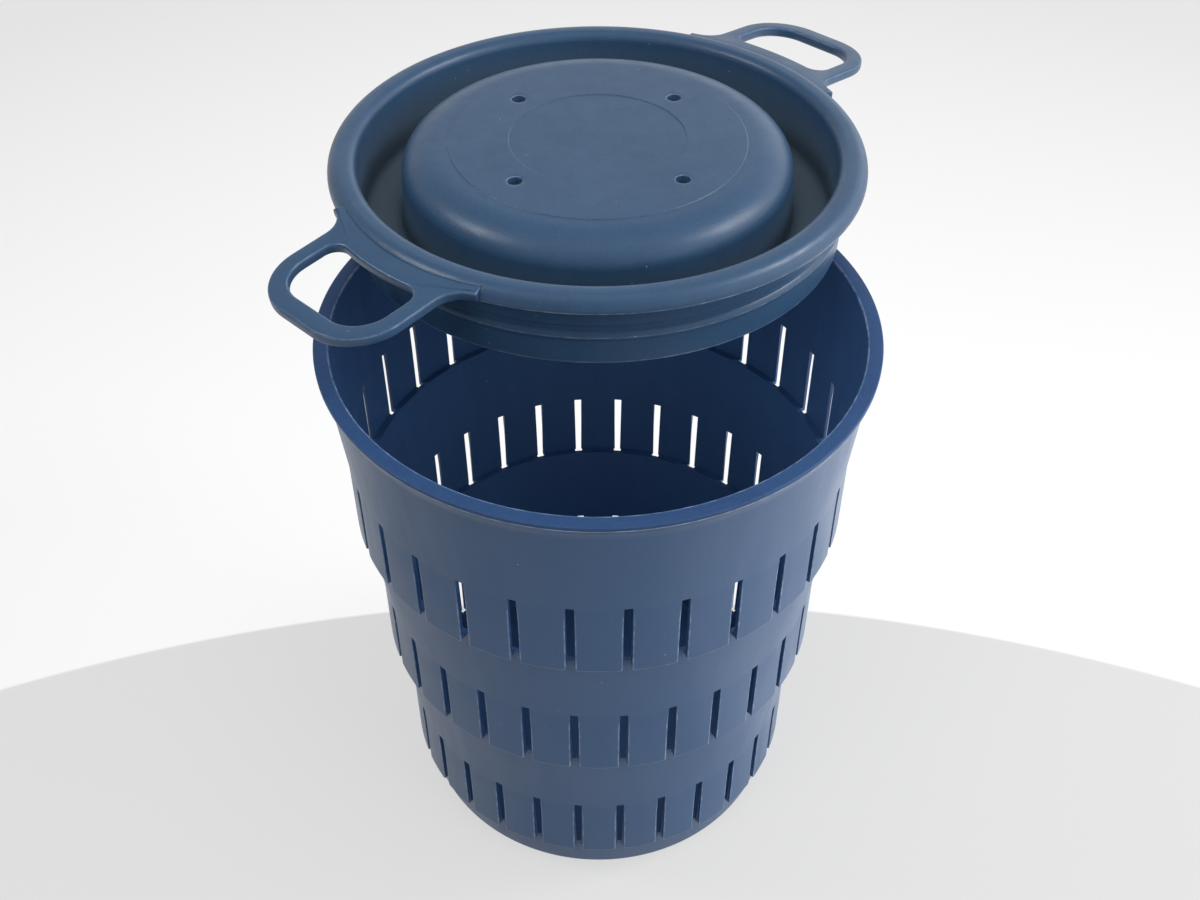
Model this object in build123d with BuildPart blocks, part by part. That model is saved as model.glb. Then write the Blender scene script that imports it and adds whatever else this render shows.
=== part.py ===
from build123d import *
from math import asin, cos, degrees, radians, sin, tan
import os

os.makedirs("parts", exist_ok=True)

# Chum bucket: a tapered pail with three bands of slots, and the loose lid that lies on its rim.
# Millimetres, +Z up. The origin is the centre of the pail's flat base, and -Y is the front.

# Pail
bucket_height = 301.0
rim_radius = 130.0
rim_lip = 2.6                # the rim stands this far out past the top of the wall
rim_edge = 2.0               # height of the rim's upright outer edge
rim_flare = 9.0              # height of the hollow curve from the wall out to the rim
rim_rounding = 0.6
rim_wall = 4.4               # thickness at the mouth
band_wall = 1.9              # thickness of the blocks, and of the plain rings between the bands
side_draft = 5.29            # degrees that the side leans outwards
floor_thickness = 4.0
foot_rounding = 3.0
floor_corner = 4.0

# Slot bands. A band's blocks stand upright, so they come out of the leaning side as they go down.
slots_per_band = 30
band_tops = (241.6, 154.0, 64.5)         # heights above the base
window_height = 39.6
block_overhang = 3.5         # the blocks reach this far below the window sills
slot_width = 4.2
window_inset = 0.1           # at each side of a window's top, inside the slot
sill_insets = (0.35, 0.55, 1.0)          # at each side of its sill, band by band
block_corner = 1.6           # rounding of a block's lower corners
block_edge = 0.8             # rounding of a block's lower edge
slot_floor = 0.25            # a slot's floor stands this far out of the side's own cone
window_web = 0.6             # least thickness of the webs beside a window, inside the slot

# Lid. Its depths are measured down from its flat top.
bead_width = 13.8
bead_crown = 2.4             # depth of the bead's crown
bead_seat = 10.0             # depth of the bead's underside, which seats on the rim
bead_outer_rounding = 6.5
bead_inner_rounding = 5.0
bead_lip_rounding = 0.6
plug_clearance = 0.5         # between the seal band and the pail's mouth
seal_band_depth = 21.4
seal_band_rounding = 1.0
neck_inset = 2.4             # the neck lies this far inside the seal band
ring_bead_depth = 28.4
ring_bead_section = 2.9      # radius of the ring bead's round section
ring_bead_inset = 1.5        # the section's centre lies this far inside the neck
skirt_depth = 44.0
skirt_rounding = 2.0
skirt_inner_rounding = 1.0
lid_wall = 5.0
trough_floor = 4.4
trough_corner = 5.0
trough_width = 18.6          # from the wall in to the foot of the cup
cup_lean = 1.5               # the cup's side draws in this far by its shoulder
shoulder_height = 13.0
shoulder_width = 19.0
cup_wall = 4.0
ring_margin = 3.6            # from the edge of the flat top in to a low raised ring
ring_width = 29.7
ring_rise = 0.35
vent_count = 4
vent_inset = 17.4            # from the raised ring's outer edge in to the vents' centres
vent_radius = 3.5
vent_rounding = 0.6

# Finger loops
handle_angles = {"front_left_handle": 225, "rear_right_handle": 45}
finger_gap_length = 33.5     # outwards from the web
finger_gap_half_width = 28.5
finger_tip_corner = 17.0
finger_root_corner = 7.0
web_width = 7.0              # between the root strip and the gap
strap_tip_width = 10.0
strap_side_width = 8.5
loop_neck_corner = 13.5
strap_thickness = 5.2
strap_rounding = 1.5
root_depth = 4.8             # depth of the strap's top face at its root
root_droop = 6.3             # degrees that the strap slopes down towards its tip
root_lip = 2.5               # the root strip stands this far out of the bead
root_seat = 3.0              # depth of the rebate under the bead's edge that the root sits in
root_end_length = 2.45       # the root strip runs on this far past each neck
bond_gap = 0.1               # glue line between the root and its rebate

# Where the lid lies: slid to the rear across the rim, with its rear edge a little lower
lid_shift = 86.0
lid_tilt = 2.0
lid_turn = 0.8
rest_gap = 0.3               # between the lid and the rim at the nearest point

match_tolerance = 0.01       # for choosing edges and corners by their size or place
taper = tan(radians(side_draft))
wall_top_radius = rim_radius - rim_lip
mouth_radius = wall_top_radius - rim_wall
block_rise = taper * (window_height + block_overhang)    # a block's stand-out at its lower end


def side_radius(height):
    """Radius of the pail's leaning outer side at a height above the base."""
    return wall_top_radius - taper * (bucket_height - height)


def sill(top):
    """Height of the window sills in the band with this top."""
    return top - window_height


def block_bottom(top):
    """Height of the blocks' lower ends in the band with this top."""
    return sill(top) - block_overhang


# The pail's outer side from the base up, stepped out under each band of blocks
outer_points = [(side_radius(0), 0)]
outer_roundings = [foot_rounding]
for top in reversed(band_tops):
    outer_points += [
        (side_radius(block_bottom(top)), block_bottom(top)),
        (side_radius(top), block_bottom(top)),
        (side_radius(top), top),
    ]
    outer_roundings += [0, block_edge, 0]

# Its inside from the mouth down, with a ledge at each row of sills
inner_points = []
for top in band_tops:
    inner_points += [
        (side_radius(top) - band_wall, top),
        (side_radius(top) - band_wall, sill(top)),
        (side_radius(sill(top)) - band_wall, sill(top)),
    ]
inner_roundings = [0] * len(inner_points) + [floor_corner]
inner_points.append((side_radius(floor_thickness) - band_wall, floor_thickness))

# The side's own cone, which the slots are cut down to
with BuildPart() as side_cone:
    with BuildSketch(Plane.XZ):
        with BuildLine():
            Polyline(
                (0, 0),
                (side_radius(0) + slot_floor, 0),
                (wall_top_radius + slot_floor, bucket_height),
                (0, bucket_height),
                close=True,
            )
        make_face()
    revolve(axis=Axis.Z)


def slot_cutter(top):
    """Cutter for a slot, flared below to round the blocks' lower corners. It spares the webs."""
    half = slot_width / 2
    flared = half + block_corner
    bottom = block_bottom(top)
    bend = bottom + block_corner
    with BuildPart() as cutter:
        with BuildSketch(Plane.YZ.offset(side_radius(top) - 2 * block_rise)):
            with BuildLine():
                Polyline((-half, bend), (-half, top), (half, top), (half, bend))
                RadiusArc((half, bend), (flared, bottom), -block_corner)
                Polyline(
                    (flared, bottom),
                    (flared, bottom - block_overhang),
                    (-flared, bottom - block_overhang),
                    (-flared, bottom),
                )
                RadiusArc((-flared, bottom), (-half, bend), -block_corner)
            make_face()
        extrude(amount=3 * block_rise)
        add(side_cone.part, mode=Mode.SUBTRACT)
        with Locations((0, 0, sill(top))):
            Cylinder(
                side_radius(top) - band_wall + window_web,
                window_height,
                align=(Align.CENTER, Align.CENTER, Align.MIN),
                mode=Mode.SUBTRACT,
            )
    return cutter.part


def window_cutter(top, sill_inset):
    """Cutter for one window through the wall, narrower at its sill than at its top."""
    half_top = slot_width / 2 - window_inset
    half_sill = slot_width / 2 - sill_inset
    with BuildPart() as cutter:
        with BuildSketch(Plane.YZ.offset(side_radius(top) - 2 * block_rise)):
            with BuildLine():
                Polyline(
                    (-half_sill, sill(top)),
                    (half_sill, sill(top)),
                    (half_top, top),
                    (-half_top, top),
                    close=True,
                )
            make_face()
        extrude(amount=3 * block_rise)
    return cutter.part


slot_cutters = [slot_cutter(top) for top in band_tops]
window_cutters = [window_cutter(top, inset) for top, inset in zip(band_tops, sill_insets)]
flare_start = bucket_height - rim_edge - rim_flare

# The pail: one turned profile, then the slots and windows cut round it, band by band
with BuildPart() as bucket:
    with BuildSketch(Plane.XZ):
        with BuildLine():
            FilletPolyline(
                (0, 0),
                outer_points,
                (side_radius(flare_start), flare_start),
                radius=outer_roundings,
            )
            TangentArc(
                (side_radius(flare_start), flare_start),
                (rim_radius, bucket_height - rim_edge),
                tangent=(taper, 1),
            )
            FilletPolyline(
                (rim_radius, bucket_height - rim_edge),
                (rim_radius, bucket_height),
                (mouth_radius, bucket_height),
                inner_points,
                (0, floor_thickness),
                radius=[rim_rounding, rim_rounding] + inner_roundings,
            )
            Line((0, floor_thickness), (0, 0))
        make_face()
    revolve(axis=Axis.Z)
    for cutter in slot_cutters + window_cutters:
        with PolarLocations(0, slots_per_band):
            add(cutter, mode=Mode.SUBTRACT)
bucket.part.label = "bucket"
export_step(bucket.part, "parts/bucket.step")

# Sizes of the lid that follow from the pail and from each other. The bead is flush with the rim.
bead_radius = rim_radius
seal_radius = mouth_radius - plug_clearance
neck_radius = seal_radius - neck_inset
trough_radius = neck_radius - lid_wall
trough_bottom = skirt_depth - trough_floor
cup_radius = trough_radius - trough_width
shoulder_radius = cup_radius - cup_lean
flat_radius = shoulder_radius - shoulder_width
ring_outer_radius = flat_radius - ring_margin
ring_inner_radius = ring_outer_radius - ring_width
vent_circle = ring_outer_radius - vent_inset
plug_inner_radius = cup_radius - cup_wall
seat_radius = bead_radius - root_seat
strip_radius = bead_radius + root_lip
rebate_play = degrees(bond_gap / seat_radius)
quarter_turn = 90

# Sizes of the loops, from the gap outwards
finger_gap_radius = strip_radius + web_width
loop_reach = finger_gap_radius + finger_gap_length + strap_tip_width
loop_half_width = finger_gap_half_width + strap_side_width
loop_tip_corner = finger_tip_corner + strap_tip_width
neck_angle = asin((loop_half_width + loop_neck_corner) / (strip_radius + loop_neck_corner))
root_half_angle = degrees(neck_angle + root_end_length / strip_radius)
seat_chord = seat_radius * cos(radians(root_half_angle)) - seat_radius

# The lid rests where the rearmost stretch of its plug crosses the rim
contact_y = (rim_radius**2 + lid_shift**2 - plug_inner_radius**2) / (2 * lid_shift) - lid_shift
lid_height = (
    bucket_height
    + rest_gap
    + skirt_depth * cos(radians(lid_tilt))
    + contact_y * sin(radians(lid_tilt))
)

# The plane of the lid's flat top, the plane of its turned section, and its axis
lid_plane = Plane(Location((0, lid_shift, lid_height), (-lid_tilt, 0, lid_turn)))
section_plane = Plane(lid_plane.origin, x_dir=lid_plane.x_dir, z_dir=-lid_plane.y_dir)
lid_axis = Axis(lid_plane.origin, lid_plane.z_dir)


def strap_plane(angle):
    """Plane of a strap's top face: it starts at the seat, with +X out and down to the tip."""
    root = Plane(lid_plane.location * Location((0, 0, 0), (0, 0, angle)))
    slope = radians(root_droop)
    return Plane(
        root.origin + root.x_dir * seat_radius - root.z_dir * root_depth,
        x_dir=root.x_dir * cos(slope) - root.z_dir * sin(slope),
        z_dir=root.z_dir * cos(slope) + root.x_dir * sin(slope),
    )


def root_outline(inner, outer, half_angle):
    """Arc-shaped strip between two radii about the lid's axis, on a strap's plane."""
    ends = [
        (radius * cos(radians(angle)) - seat_radius, radius * sin(radians(angle)))
        for radius in (inner, outer)
        for angle in (-half_angle, half_angle)
    ]
    with BuildSketch() as outline:
        with BuildLine():
            ThreePointArc(ends[0], (inner - seat_radius, 0), ends[1])
            Line(ends[1], ends[3])
            ThreePointArc(ends[3], (outer - seat_radius, 0), ends[2])
            Line(ends[2], ends[0])
        make_face()
    return outline.sketch


# The lid: one turned section, the vents, and a rebate for the root of each finger loop
with BuildPart() as lid:
    with BuildSketch(section_plane):
        with BuildLine():
            Polyline(
                (0, 0),
                (ring_inner_radius, 0),
                (ring_inner_radius, ring_rise),
                (ring_outer_radius, ring_rise),
                (ring_outer_radius, 0),
                (flat_radius, 0),
            )
            EllipticalCenterArc(
                (flat_radius, -shoulder_height),
                shoulder_width,
                shoulder_height,
                start_angle=0,
                arc_size=quarter_turn,
            )
            FilletPolyline(
                (shoulder_radius, -shoulder_height),
                (cup_radius, -trough_bottom),
                (trough_radius, -trough_bottom),
                (bead_radius - bead_width, -bead_crown),
                (bead_radius, -bead_crown),
                (bead_radius, -bead_seat),
                (seal_radius, -bead_seat),
                (seal_radius, -seal_band_depth),
                (neck_radius, -seal_band_depth),
                (neck_radius, -skirt_depth),
                (plug_inner_radius, -skirt_depth),
                (shoulder_radius - cup_wall, -shoulder_height),
                radius=[
                    trough_corner,
                    trough_corner,
                    bead_inner_rounding,
                    bead_outer_rounding,
                    bead_lip_rounding,
                    0,
                    seal_band_rounding,
                    0,
                    skirt_rounding,
                    skirt_inner_rounding,
                ],
            )
            EllipticalCenterArc(
                (flat_radius, -shoulder_height),
                shoulder_width - cup_wall,
                shoulder_height - cup_wall,
                start_angle=0,
                arc_size=quarter_turn,
            )
            Polyline((flat_radius, -cup_wall), (0, -cup_wall), (0, 0))
        make_face()
        with Locations((neck_radius - ring_bead_inset, -ring_bead_depth)):
            Circle(ring_bead_section)
    revolve(axis=lid_axis)
    with BuildSketch(lid_plane.offset(ring_rise)):
        with PolarLocations(vent_circle, vent_count, start_angle=45):
            Circle(vent_radius)
    extrude(amount=-2 * cup_wall, mode=Mode.SUBTRACT)
    circles = lid.edges().filter_by(GeomType.CIRCLE)
    vent_rims = circles.filter_by(lambda rim: abs(rim.radius - vent_radius) < match_tolerance)
    fillet(vent_rims.group_by(lid_axis)[-1], vent_rounding)
    for angle in handle_angles.values():
        with BuildSketch(strap_plane(angle).offset(bond_gap)):
            add(root_outline(seat_radius, strip_radius + root_seat, root_half_angle + rebate_play))
        extrude(amount=-2 * strap_thickness, mode=Mode.SUBTRACT)
lid.part.label = "lid"
export_step(lid.part, "parts/lid.step")


def off_axis(point):
    """Distance of a point from the lid's axis."""
    away = point - lid_plane.origin
    return (away - lid_plane.z_dir * away.dot(lid_plane.z_dir)).length


def finger_loop(angle):
    """Flat loop with an arc-shaped root strip, a web beside the bead and a gap for the fingers."""
    tip = loop_reach - seat_radius
    gap_tip = tip - strap_tip_width
    plane = strap_plane(angle)
    with BuildPart() as strap:
        with BuildSketch(plane) as outline:
            with BuildLine():
                FilletPolyline(
                    (seat_chord, -loop_half_width),
                    (tip, -loop_half_width),
                    (tip, loop_half_width),
                    (seat_chord, loop_half_width),
                    radius=[loop_tip_corner, loop_tip_corner],
                )
                Line((seat_chord, loop_half_width), (seat_chord, -loop_half_width))
            make_face()
            add(root_outline(seat_radius, strip_radius, root_half_angle))
            with Locations((-seat_radius, 0)):
                Circle(seat_radius + bond_gap, mode=Mode.SUBTRACT)
            necks = outline.vertices().filter_by(
                lambda corner: abs(abs(corner.Y) - loop_half_width) < match_tolerance and corner.X < web_width
            )
            fillet(necks, loop_neck_corner)
        extrude(amount=-strap_thickness)
        with BuildSketch(plane) as finger_gap:
            with BuildLine():
                FilletPolyline(
                    (0, -finger_gap_half_width),
                    (gap_tip, -finger_gap_half_width),
                    (gap_tip, finger_gap_half_width),
                    (0, finger_gap_half_width),
                    radius=[finger_tip_corner, finger_tip_corner],
                )
                Line((0, finger_gap_half_width), (0, -finger_gap_half_width))
            make_face()
            with Locations((-seat_radius, 0)):
                Circle(finger_gap_radius, mode=Mode.SUBTRACT)
            fillet(finger_gap.vertices().sort_by(Axis.X)[:2], finger_root_corner)
        extrude(amount=-strap_thickness, mode=Mode.SUBTRACT)
        rims = strap.faces().filter_by(plane).edges()
        clear_rims = rims.filter_by(lambda rim: off_axis(rim @ 0.5) > strip_radius - strap_rounding)
        fillet(clear_rims, strap_rounding)
    return strap


for name, angle in handle_angles.items():
    strap = finger_loop(angle)
    strap.part.label = name
    export_step(strap.part, f"parts/{name}.step")
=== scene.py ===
# %% [markdown]
# # A chum bucket, dressed for its photograph
#
# The object is a tapered pail with bands of slots, and a loose lid that lies askew across its rim.
# Both are thick mouldings in dark blue polyethylene, and two finger loops are let into the lid's bead.
# Every surface is worked out with numpy as a function of two parameters: one runs round the pail or
# the lid, and the other runs along the section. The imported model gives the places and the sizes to
# keep to, and each finished surface stands for one of its pieces.

import bmesh
import bpy
import numpy as np
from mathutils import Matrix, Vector


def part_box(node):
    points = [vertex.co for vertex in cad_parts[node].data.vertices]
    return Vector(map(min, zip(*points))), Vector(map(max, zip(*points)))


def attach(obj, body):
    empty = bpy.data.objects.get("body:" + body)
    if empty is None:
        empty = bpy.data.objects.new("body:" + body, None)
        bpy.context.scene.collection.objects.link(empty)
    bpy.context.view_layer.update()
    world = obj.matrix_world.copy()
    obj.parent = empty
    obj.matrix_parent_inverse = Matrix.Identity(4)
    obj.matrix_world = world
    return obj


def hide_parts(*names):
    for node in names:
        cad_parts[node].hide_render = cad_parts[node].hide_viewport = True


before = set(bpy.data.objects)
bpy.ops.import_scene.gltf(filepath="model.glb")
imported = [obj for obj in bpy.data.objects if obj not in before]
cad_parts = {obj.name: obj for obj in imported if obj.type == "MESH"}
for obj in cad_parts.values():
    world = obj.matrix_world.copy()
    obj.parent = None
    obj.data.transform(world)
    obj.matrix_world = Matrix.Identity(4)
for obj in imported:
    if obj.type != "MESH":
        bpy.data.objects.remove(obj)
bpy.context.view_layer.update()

# %% [markdown]
# ## Units and small helpers
#
# Plastic parts are drawn in millimetres, and Blender works in metres. So each shape here is worked
# out in millimetres, and one factor turns it to metres when it becomes a mesh. Angles are in radians
# inside the formulas, and in degrees where a person sets them.

# %% Units
MM = 0.001


def side_by_side(*parts):
    """Joins rows of points, or single numbers, into one array, in the order given."""
    return np.concatenate([np.atleast_1d(np.asarray(part, float)) for part in parts])


print("one millimetre of the drawing is", MM, "of Blender's units")

# %% [markdown]
# A section is drawn as straight runs whose corners are rounded. For a corner of angle t between two
# runs, an arc of radius r touches each run at a distance of r / tan(t / 2) from the corner. Sweeping
# from one touching point to the other in equal turns gives the arc. This way the roundings stay
# round when a size changes, which a list of hand-placed points would not do.

# %% A section with rounded corners
def rounded(corners, radii, steps=5):
    """Points along straight runs through the corners, where corner i is an arc of radius radii[i].

    The arc's centre lies on the corner's bisector, radius / sin(half angle) away. Its points are the
    centre plus the radius times the unit vectors turned evenly from one touching point to the other.
    """
    corners = [np.asarray(corner, float) for corner in corners]
    points = [corners[0]]
    for before, corner, after, radius in zip(corners, corners[1:], corners[2:], radii):
        if radius == 0:
            points.append(corner)
            continue
        back = (before - corner) / np.linalg.norm(before - corner)
        ahead = (after - corner) / np.linalg.norm(after - corner)
        half = np.arccos(np.clip(back @ ahead, -1, 1)) / 2
        bisector = (back + ahead) / np.linalg.norm(back + ahead)
        centre = corner + bisector * radius / np.sin(half)
        start = corner + back * radius / np.tan(half) - centre
        end = corner + ahead * radius / np.tan(half) - centre
        first = np.arctan2(start[1], start[0])
        turn = (np.arctan2(end[1], end[0]) - first + np.pi) % (2 * np.pi) - np.pi
        angles = first + np.linspace(0, turn, steps + 1)
        points.extend(centre + radius * np.column_stack([np.cos(angles), np.sin(angles)]))
    points.append(corners[-1])
    return np.array(points)


def arc(centre, radius, start, end, steps):
    """Points on a circle about the centre, from the start angle to the end angle, in degrees."""
    angles = np.radians(np.linspace(start, end, steps + 1))
    return np.asarray(centre) + radius * np.column_stack([np.cos(angles), np.sin(angles)])


corner_test = rounded([(0, 0), (10, 0), (10, 10)], [4])
print("a rounded corner has", len(corner_test), "points; its middle one is", corner_test[3].round(2))

# %% [markdown]
# ## From grids of points to closed pieces
#
# A surface of two parameters is a grid: row i and column j hold one point, and four neighbours make
# one face. Where a row shrinks to a pole, or where a step has no height, several points fall on the
# same place. They are merged afterwards, which also closes the seams, so that the piece is one
# watertight skin with its faces outwards, as a moulding is.

# %% Faces of a grid
WELD_DISTANCE, LEAST_EDGE = 2e-6, 1e-6   # m, below which points are merged and edges dropped
SHARP_ANGLE = 32                         # degrees between faces, from which their edge stays sharp


def grid_faces(numbers):
    """Four-cornered faces between neighbouring rows and columns of a grid of point numbers.

    The last column also joins the first, so that the grid closes round an axis.
    """
    numbers = np.concatenate([numbers, numbers[:, :1]], axis=1)
    low, high = numbers[:-1], numbers[1:]
    return np.stack([low[:, :-1], low[:, 1:], high[:, 1:], high[:, :-1]], axis=-1)


def add_object(name, data):
    """Puts a mesh, a lamp or a camera into the scene as an object at the origin."""
    thing = bpy.data.objects.new(name, data)
    bpy.context.scene.collection.objects.link(thing)
    return thing


def make_piece(name, points, faces, marks, body, replaced, slot):
    """Puts points in millimetres and their faces into a mesh, welds it, and seats it in the frame.

    marks has two numbers for each point, which the finish reads: how far it carries a pale line,
    which is flash on moulding lines and a painted highlight on roundings (0 to 1, more for a heavy
    line, below 0 for a dark one: painted shade on the rim's upright edge, a darker tone on its
    flat), and how much of the dull film lies on it (0 to 1).
    """
    mesh = bpy.data.meshes.new(name)
    mesh.from_pydata((points * MM).tolist(), [], faces)
    for number, mark in enumerate(("edge", "film")):
        values = marks[..., number].ravel().astype(np.float32)
        mesh.attributes.new(mark, "FLOAT", "POINT").data.foreach_set("value", values)
    welded = bmesh.new()
    welded.from_mesh(mesh)
    bmesh.ops.remove_doubles(welded, verts=welded.verts, dist=WELD_DISTANCE)
    bmesh.ops.dissolve_degenerate(welded, edges=welded.edges, dist=LEAST_EDGE)
    open_edges = sum(not one.is_manifold for one in welded.edges)
    welded.to_mesh(mesh)
    welded.free()
    mesh.shade_smooth()
    mesh.set_sharp_from_angle(angle=np.radians(SHARP_ANGLE))
    piece = add_object(name, mesh)
    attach(piece, body)
    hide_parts(replaced)
    triangles = sum(len(face.vertices) - 2 for face in mesh.polygons)
    print(f"{name}: {len(mesh.vertices)} points, {triangles} triangles, {open_edges} open edges")
    return piece


grid_test = grid_faces(np.arange(12).reshape(3, 4))
print("a grid of 3 rows and 4 columns, closed round an axis, has", grid_test.size // 4, "faces")

# %% [markdown]
# ## The pail
#
# The pail comes out of a mould that pulls straight up and down, and that rules its shape. Its side
# leans outwards, but each band of blocks stands upright, so the blocks come out of the side as they
# go down and end in a small ledge. Inside, the wall is upright too in each band, and steps in at the
# row of window sills. A slot goes in to the leaning side, and its window goes right through.

# %% Sizes of the pail, in millimetres
HEIGHT = 301.0
RIM_RADIUS = 130.0
RIM_LIP, RIM_EDGE, RIM_FLARE, RIM_ROUNDING = 2.6, 2.0, 9.0, 0.6
RIM_WALL, BAND_WALL = 4.4, 1.9
LEAN = np.tan(np.radians(5.29))
FLOOR = 4.0
FOOT_ROUNDING, FLOOR_CORNER = 3.0, 4.0
SLOTS = 30
BAND_TOPS = (64.5, 154.0, 241.6)
WINDOW_HEIGHT, OVERHANG = 39.6, 3.5
SLOT_HALF = 2.1
WINDOW_INSET = 0.1
SILL_INSETS = (1.0, 0.55, 0.35)
BLOCK_CORNER, BLOCK_EDGE = 1.6, 0.8
SLOT_FLOOR, WINDOW_WEB = 0.25, 0.6
PINCH = 0.45                 # rounding of the blocks' upright edges
EDGE_LINE = 0.45             # width of the pale line beside a pinched edge
LOW_SIDE = 20.0              # height of a point on the straight part of the lowest side
WALL_TOP = RIM_RADIUS - RIM_LIP


def side(height):
    """Radius of the leaning side at a height: the wall's top radius less the lean times the drop."""
    return WALL_TOP - LEAN * (HEIGHT - np.asarray(height, float))


print("radius at the foot and under the rim:", np.round([side(0), side(HEIGHT)], 1))

# %% [markdown]
# Going round the pail at one height gives a closed line: along a block's face, in at its side, over
# the slot's floor and out again. The same points for each block and slot do for every height,
# because between the bands the steps just shrink to nothing. So each row of the grid is described by
# five numbers: the height, the radius of the blocks' faces, the radius of the slots' floors, half
# the slot's width and half the window's width.

# %% Rows of one band of blocks
QUARTER = np.linspace(0, np.pi / 2, 4)   # turns of the points along a small rounding
CORNER_ROW = 1.2             # height over the ledge of the row inside the corners' rounding
WINDOW_ROWS = 4              # rows along each part of a window


def band_rows(top, sill_inset):
    """Rows from a band's ledge up to its top, and which of them border the windows.

    The blocks' lower corners are rounded: a height h under the end of the rounding, a corner of
    radius c has drawn in by c less the square root of c squared less h squared. The sill has two
    rows: one on the slot's floor below it, and one on the webs that stand beside the window.
    """
    face = side(top)
    sill = top - WINDOW_HEIGHT
    ledge = sill - OVERHANG
    lower = ledge + BLOCK_EDGE * (1 - np.cos(QUARTER))
    web = face - BAND_WALL + WINDOW_WEB
    cross = top - (face - web + SLOT_FLOOR) / LEAN
    fade = top - SLOT_FLOOR / LEAN
    lower_part = np.linspace(sill, cross, WINDOW_ROWS)
    upper = side_by_side(lower_part, np.linspace(cross, fade, WINDOW_ROWS)[1:], top)
    height = side_by_side(ledge, lower, ledge + CORNER_ROW, ledge + BLOCK_CORNER, sill, upper)
    foot = face - BLOCK_EDGE * (1 - np.sin(QUARTER))
    faces = side_by_side(side(ledge), foot, np.full(len(upper) + 3, face))
    window_rows = np.arange(len(height)) >= len(height) - len(upper)
    floors = np.minimum(side(height) + SLOT_FLOOR, face)
    floors[window_rows] = np.maximum(floors[window_rows], web)
    floors[0] = side(ledge)
    drop = np.clip(ledge + BLOCK_CORNER - height, 0, BLOCK_CORNER)
    slot = SLOT_HALF + BLOCK_CORNER - np.sqrt(BLOCK_CORNER**2 - drop**2)
    window = np.interp(height, (sill, top), (SLOT_HALF - sill_inset, SLOT_HALF - WINDOW_INSET))
    rows = np.column_stack([height, faces, floors, slot, window])
    return rows, window_rows


def plain_rows(heights, radii, window):
    """Rows with no step between blocks and slots, at heights and radii of their own."""
    heights, radii = np.broadcast_arrays(np.asarray(heights, float), np.asarray(radii, float))
    slot = np.full(len(heights), SLOT_HALF)
    return np.column_stack([heights, radii, radii, slot, np.full(len(heights), window)])


sample_rows, sample_window = band_rows(BAND_TOPS[2], SILL_INSETS[2])
print("a band has", len(sample_rows), "rows, of which", sample_window.sum(), "border its windows")

# %% [markdown]
# The rim flares out in a hollow curve before its upright edge. An arc that leaves the side smoothly
# and ends at a given point has one radius only: the squared distance between its ends, divided by
# twice the part of that distance that lies across the starting direction.

# %% The hollow curve under the rim
FLARE_STEPS = 16


def tangent_arc(start, direction, end, steps):
    """Points of the arc that leaves start along a direction and ends at end."""
    start, end = np.asarray(start, float), np.asarray(end, float)
    ahead = np.asarray(direction, float) / np.linalg.norm(direction)
    across = np.array([ahead[1], -ahead[0]])
    chord = end - start
    radius = chord @ chord / (2 * chord @ across)
    turn = 2 * np.arctan2(chord @ across, chord @ ahead)
    angles = np.linspace(0, turn, steps + 1)[:, None]
    return start + radius * (np.sin(angles) * ahead + (1 - np.cos(angles)) * across)


RIM_FOOT = HEIGHT - RIM_EDGE
flare_start = (side(RIM_FOOT - RIM_FLARE), RIM_FOOT - RIM_FLARE)
flare = tangent_arc(flare_start, (LEAN, 1), (RIM_RADIUS, RIM_FOOT), FLARE_STEPS)
print("the flare runs out by", round(flare[-1, 0] - flare[0, 0], 2), "mm")

# %% [markdown]
# Now the rows are put in order along one path: from the middle of the base, round the foot, up the
# outside with its three bands, over the rim, down the inside and in across the floor. A path that
# goes this way keeps every face turned outwards. Inside, the windows need rows at the same heights
# as outside, so that the two skins can be joined through the wall. Beside the rim's edges there are
# extra rows, which keep the pale lines there narrow.

# %% Rows of the whole pail
LOW_SPREAD, RIM_SPREAD = 1.0, 1.7        # half the window's width, for rows that have no window
PARTING_WIDTH, MOUTH_WIDTH = 0.4, 1.0    # width of the pale lines under the rim and at the mouth
THROAT_SHARE = 0.02          # the same inside, as a share of the way down to the topmost band
RIM_STEPS = 4


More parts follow.
